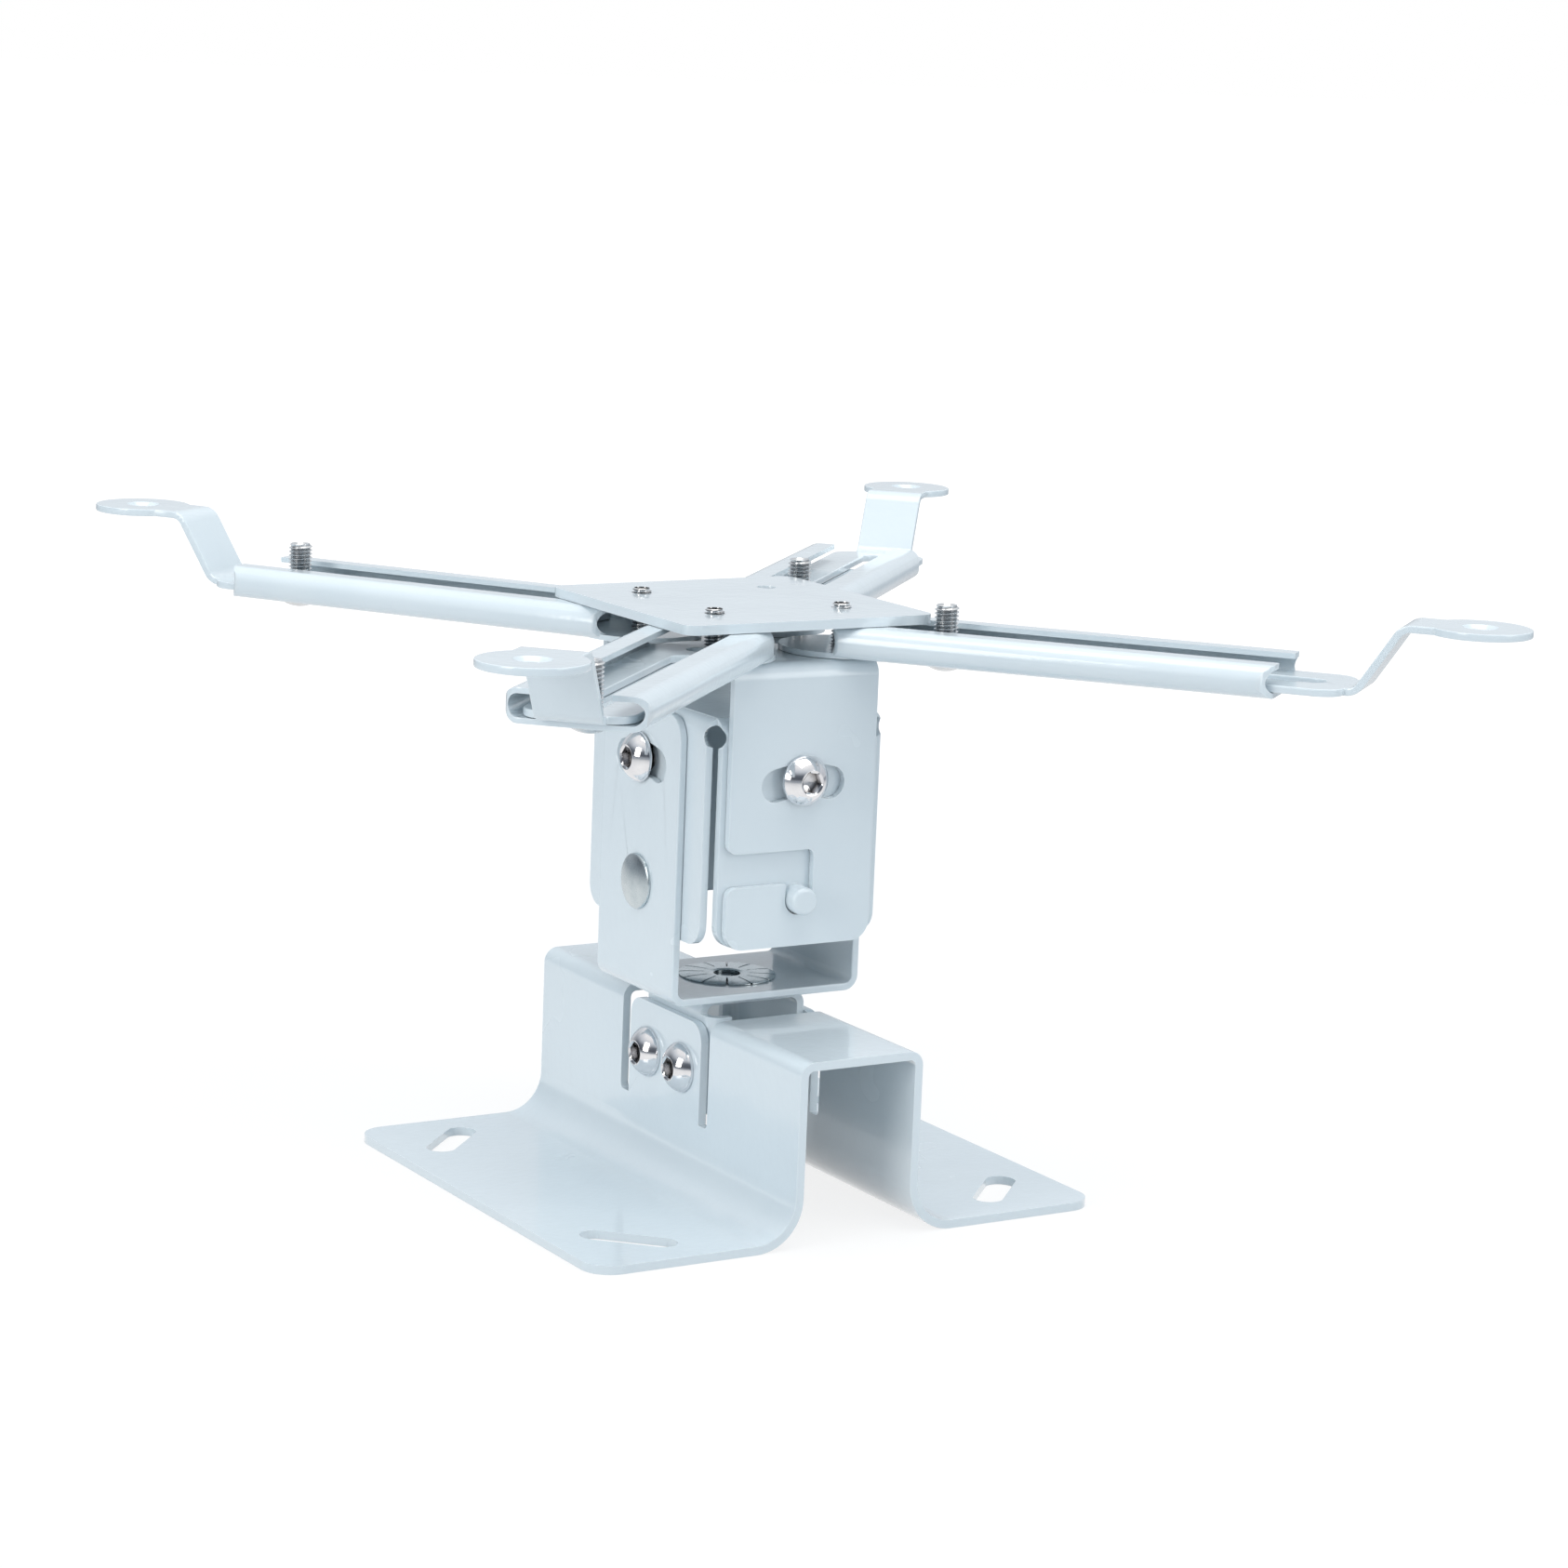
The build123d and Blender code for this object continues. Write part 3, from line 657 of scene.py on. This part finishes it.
# Button-head screws, with a hexagon socket each
BUTTON_RADIUS = 0.00525
BUTTON_HEIGHT = 0.0033
BUTTON_RIM = 0.0007
BUTTON_FLAT = 0.0026
SOCKET_APOTHEM = 0.002
SOCKET_DEPTH = 0.002
SOCKET_FLARE = 0.0003
SOCKET_LIP = 0.00002
SOCKET_POINT = 0.0006
BUTTON_EDGE = 0.0003
BUTTON_EASE = 0.00008
BUTTON_AROUND = 96
BUTTON_STEPS = 12
NECK_SCREW_LENGTH = 0.008
LOCK_SCREW_LENGTH = 0.010
SCREW_GAP = 0.0002
SCREW_TOP_CHAMFER = 0.0001
SCREW_END_CHAMFER = 0.0006
FIRST_SPIN = 0.35
SPIN_STEP = 0.5
FASTENER_SHARP = 32


def hexagon(angle):
    sixth = math.pi / 3
    return SOCKET_APOTHEM / math.cos((angle + sixth / 2) % sixth - sixth / 2)


def button_head(made):
    mouth = SOCKET_APOTHEM / math.cos(math.pi / 6) + SOCKET_FLARE / 2
    profile = [
        (BUTTON_RADIUS - BUTTON_EDGE, 0),
        (BUTTON_RADIUS - BUTTON_EASE, BUTTON_EASE),
        (BUTTON_RADIUS, BUTTON_EDGE),
    ]
    rise = BUTTON_HEIGHT ** 2 - BUTTON_RIM ** 2 + BUTTON_FLAT ** 2 - BUTTON_RADIUS ** 2
    centre = rise / (2 * (BUTTON_HEIGHT - BUTTON_RIM))
    ball = math.hypot(BUTTON_RADIUS, BUTTON_RIM - centre)
    for step in range(BUTTON_STEPS + 1):
        reach = BUTTON_RADIUS + (BUTTON_FLAT - BUTTON_RADIUS) * step / BUTTON_STEPS
        profile.append((reach, centre + math.sqrt(ball * ball - reach * reach)))
    rings = [[made.verts.new((0, 0, 0))]]
    for reach, height in profile + [(mouth, BUTTON_HEIGHT - SOCKET_LIP)]:
        rings.append(ring_at(made, height, lambda angle: (reach, 0), BUTTON_AROUND))
    for height in (BUTTON_HEIGHT - SOCKET_FLARE, BUTTON_HEIGHT - SOCKET_DEPTH):
        rings.append(ring_at(made, height, lambda angle: (hexagon(angle), 0), BUTTON_AROUND))
    rings.append([made.verts.new((0, 0, BUTTON_HEIGHT - SOCKET_DEPTH - SOCKET_POINT))])
    skin(made, rings, BUTTON_AROUND)


def pointing(place, outward, spin=0):
    """Where a fastener goes whose own Z axis is to point outward."""
    turn = outward.to_track_quat("Z", "Y").to_matrix().to_4x4()
    return Matrix.Translation(place) @ turn @ Matrix.Rotation(spin, 4, "Z")


def button_screws(name, node, places, length):
    """One piece of several screws; each place is the middle of a head's flat side, and its outward axis."""
    whole = bmesh.new()
    for index, (place, outward) in enumerate(places):
        made = threaded(-length, -SCREW_GAP, M6_RADIUS, M6_PITCH, SCREW_TOP_CHAMFER, SCREW_END_CHAMFER)
        button_head(made)
        spin = FIRST_SPIN + SPIN_STEP * index
        bmesh.ops.transform(made, verts=made.verts, matrix=pointing(place, outward, spin))
        merge_into(whole, made)
    piece = as_object(whole, name, chrome, FASTENER_SHARP)
    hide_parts(node)
    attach(piece, body_holding(node))


side_screws = (
    ("neck_buttons", "neck_screws", NECK_SCREW_LENGTH),
    ("tilt_buttons", "tilt_lock_screws", LOCK_SCREW_LENGTH),
)
for name, node, length in side_screws:
    low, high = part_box(node)
    height = (low.z + high.z) / 2
    rows = sorted({round(low.y + BUTTON_RADIUS, 5), round(high.y - BUTTON_RADIUS, 5)})
    places = []
    for y in rows:
        places.append((Vector((low.x + BUTTON_HEIGHT, y, height)), Vector((-1, 0, 0))))
        places.append((Vector((high.x - BUTTON_HEIGHT, y, height)), Vector((1, 0, 0))))
    button_screws(name, node, places, length)
low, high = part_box("roll_lock_screws")
height = (low.z + high.z) / 2
button_screws("roll_buttons", "roll_lock_screws", [
    (Vector((0, low.y + BUTTON_HEIGHT, height)), Vector((0, -1, 0))),
    (Vector((0, high.y - BUTTON_HEIGHT, height)), Vector((0, 1, 0))),
], LOCK_SCREW_LENGTH)

# Tilt rivets, with low domed heads over a straight rim
RIVET_RADIUS = 0.0058
RIVET_HEIGHT = 0.0015
RIVET_RIM = 0.0005
RIVET_SHANK = 0.003
RIVET_REACH = 0.0034
RIVET_TAIL = 0.0045
RIVET_TAIL_HEIGHT = 0.0012
RIVET_TAIL_RIM = 0.0004
RIVET_OVERLAP = 0.0001
RIVET_EDGE = 0.00025
RIVET_EASE = 0.00007
RIVET_TAPER = 0.00005
SHOULDER_INSET = 0.0002
SHOULDER_RISE = 0.00015
CROWN_INSET = 0.00055
CROWN_RISE = 0.0002
CROWN_STEPS = 16
RIVET_AROUND = 72
SHANK_AROUND = 48


def rivet_shape(made):
    outline = [
        (0, 0),
        (RIVET_RADIUS - RIVET_EDGE, 0),
        (RIVET_RADIUS - RIVET_EASE, RIVET_EASE),
        (RIVET_RADIUS, RIVET_EDGE),
        (RIVET_RADIUS - RIVET_TAPER, RIVET_RIM),
        (RIVET_RADIUS - SHOULDER_INSET, RIVET_RIM + SHOULDER_RISE),
    ]
    crown = RIVET_HEIGHT - RIVET_RIM - CROWN_RISE
    outline += dome(RIVET_RADIUS - CROWN_INSET, crown, RIVET_RIM + CROWN_RISE, CROWN_STEPS)
    lathe(made, outline, RIVET_AROUND)
    lathe(made, [(RIVET_SHANK, RIVET_OVERLAP), (RIVET_SHANK, -RIVET_REACH)], SHANK_AROUND)
    upward = dome(RIVET_TAIL, RIVET_TAIL_HEIGHT - RIVET_TAIL_RIM, RIVET_REACH + RIVET_TAIL_RIM)
    tail = [(0, -RIVET_REACH), (RIVET_TAIL, -RIVET_REACH)]
    tail += [(reach, -height) for reach, height in upward]
    lathe(made, tail, SHANK_AROUND)


low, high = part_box("tilt_rivets")
whole = bmesh.new()
for end, outward in ((low.x + RIVET_HEIGHT, -1), (high.x - RIVET_HEIGHT, 1)):
    made = bmesh.new()
    rivet_shape(made)
    place = Vector((end, (low.y + high.y) / 2, (low.z + high.z) / 2))
    bmesh.ops.transform(made, verts=made.verts, matrix=pointing(place, Vector((outward, 0, 0))))
    merge_into(whole, made)
piece = as_object(whole, "tilt_rivet_heads", rivet, FASTENER_SHARP)
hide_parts("tilt_rivets")
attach(piece, body_holding("tilt_rivets"))

# The swivel's eyelet, split into petals where it was flared
EYELET_BORE = 0.0028
EYELET_DEPTH = 0.0009
EYELET_RISE = 0.00045
EYELET_RADIUS = 0.0102
EYELET_RINGS = 16
EYELET_AROUND = 216
EYELET_PETALS = 12
SPLIT_SHARE = 0.055
SPLIT_START = 0.0048
SPLIT_SLOPE = 0.001
SPLIT_PULL = 0.14
SPLIT_SINK = 0.88
RIM_FALL = 0.5
LIP_FALL = 0.45
SWIVEL_HEAD_HEIGHT = 0.0019
SWIVEL_SHANK = 0.004
SWIVEL_TAIL = 0.0065
SWIVEL_TAIL_HEIGHT = 0.0016
SWIVEL_TAIL_RIM = 0.0005

low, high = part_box("swivel_rivet")
seat = high.z - SWIVEL_HEAD_HEIGHT
under = low.z + SWIVEL_TAIL_HEIGHT
flare = EYELET_RADIUS - EYELET_BORE
bore_floor = seat + EYELET_RISE - EYELET_DEPTH


def petal(reach, share, angle):
    """Where a point of the flared rim lies: pulled in and pressed down at each split."""
    turn = angle / (2 * math.pi) * EYELET_PETALS % 1
    split = max(0, 1 - min(turn, 1 - turn) / SPLIT_SHARE)
    outer = min(max((reach - SPLIT_START) / SPLIT_SLOPE, 0), 1)
    crown = 1 - RIM_FALL * share ** 5 - LIP_FALL * max(0, 1 - share * 6) ** 2
    lift = EYELET_RISE * crown * (1 - SPLIT_SINK * split * outer)
    return reach * (1 - SPLIT_PULL * split * outer * share), lift


made = bmesh.new()
rings = [
    [made.verts.new((0, 0, bore_floor))],
    ring_at(made, bore_floor, lambda angle: (EYELET_BORE, 0), EYELET_AROUND),
]
for step in range(EYELET_RINGS + 1):
    share = step / EYELET_RINGS
    reach = EYELET_BORE + flare * share
    rings.append(ring_at(made, seat, lambda angle: petal(reach, share, angle), EYELET_AROUND))
rings.append(ring_at(made, seat, lambda angle: (petal(reach, share, angle)[0], 0), EYELET_AROUND))
rings.append(ring_at(made, seat, lambda angle: (SWIVEL_SHANK, 0), EYELET_AROUND))
rings.append(ring_at(made, under, lambda angle: (SWIVEL_SHANK, 0), EYELET_AROUND))
rings.append(ring_at(made, under, lambda angle: (SWIVEL_TAIL, 0), EYELET_AROUND))
for reach, rise in dome(SWIVEL_TAIL, SWIVEL_TAIL_HEIGHT - SWIVEL_TAIL_RIM, SWIVEL_TAIL_RIM):
    if reach < MIDDLE:
        rings.append([made.verts.new((0, 0, under - rise))])
    else:
        rings.append(ring_at(made, under - rise, lambda angle: (reach, 0), EYELET_AROUND))
skin(made, rings, EYELET_AROUND)
stand_in("swivel_eyelet", "swivel_rivet", made, rivet, "base")

make_camera()
make_world()
make_floor()
make_lights()
bpy.context.scene.view_settings.view_transform = "Standard"
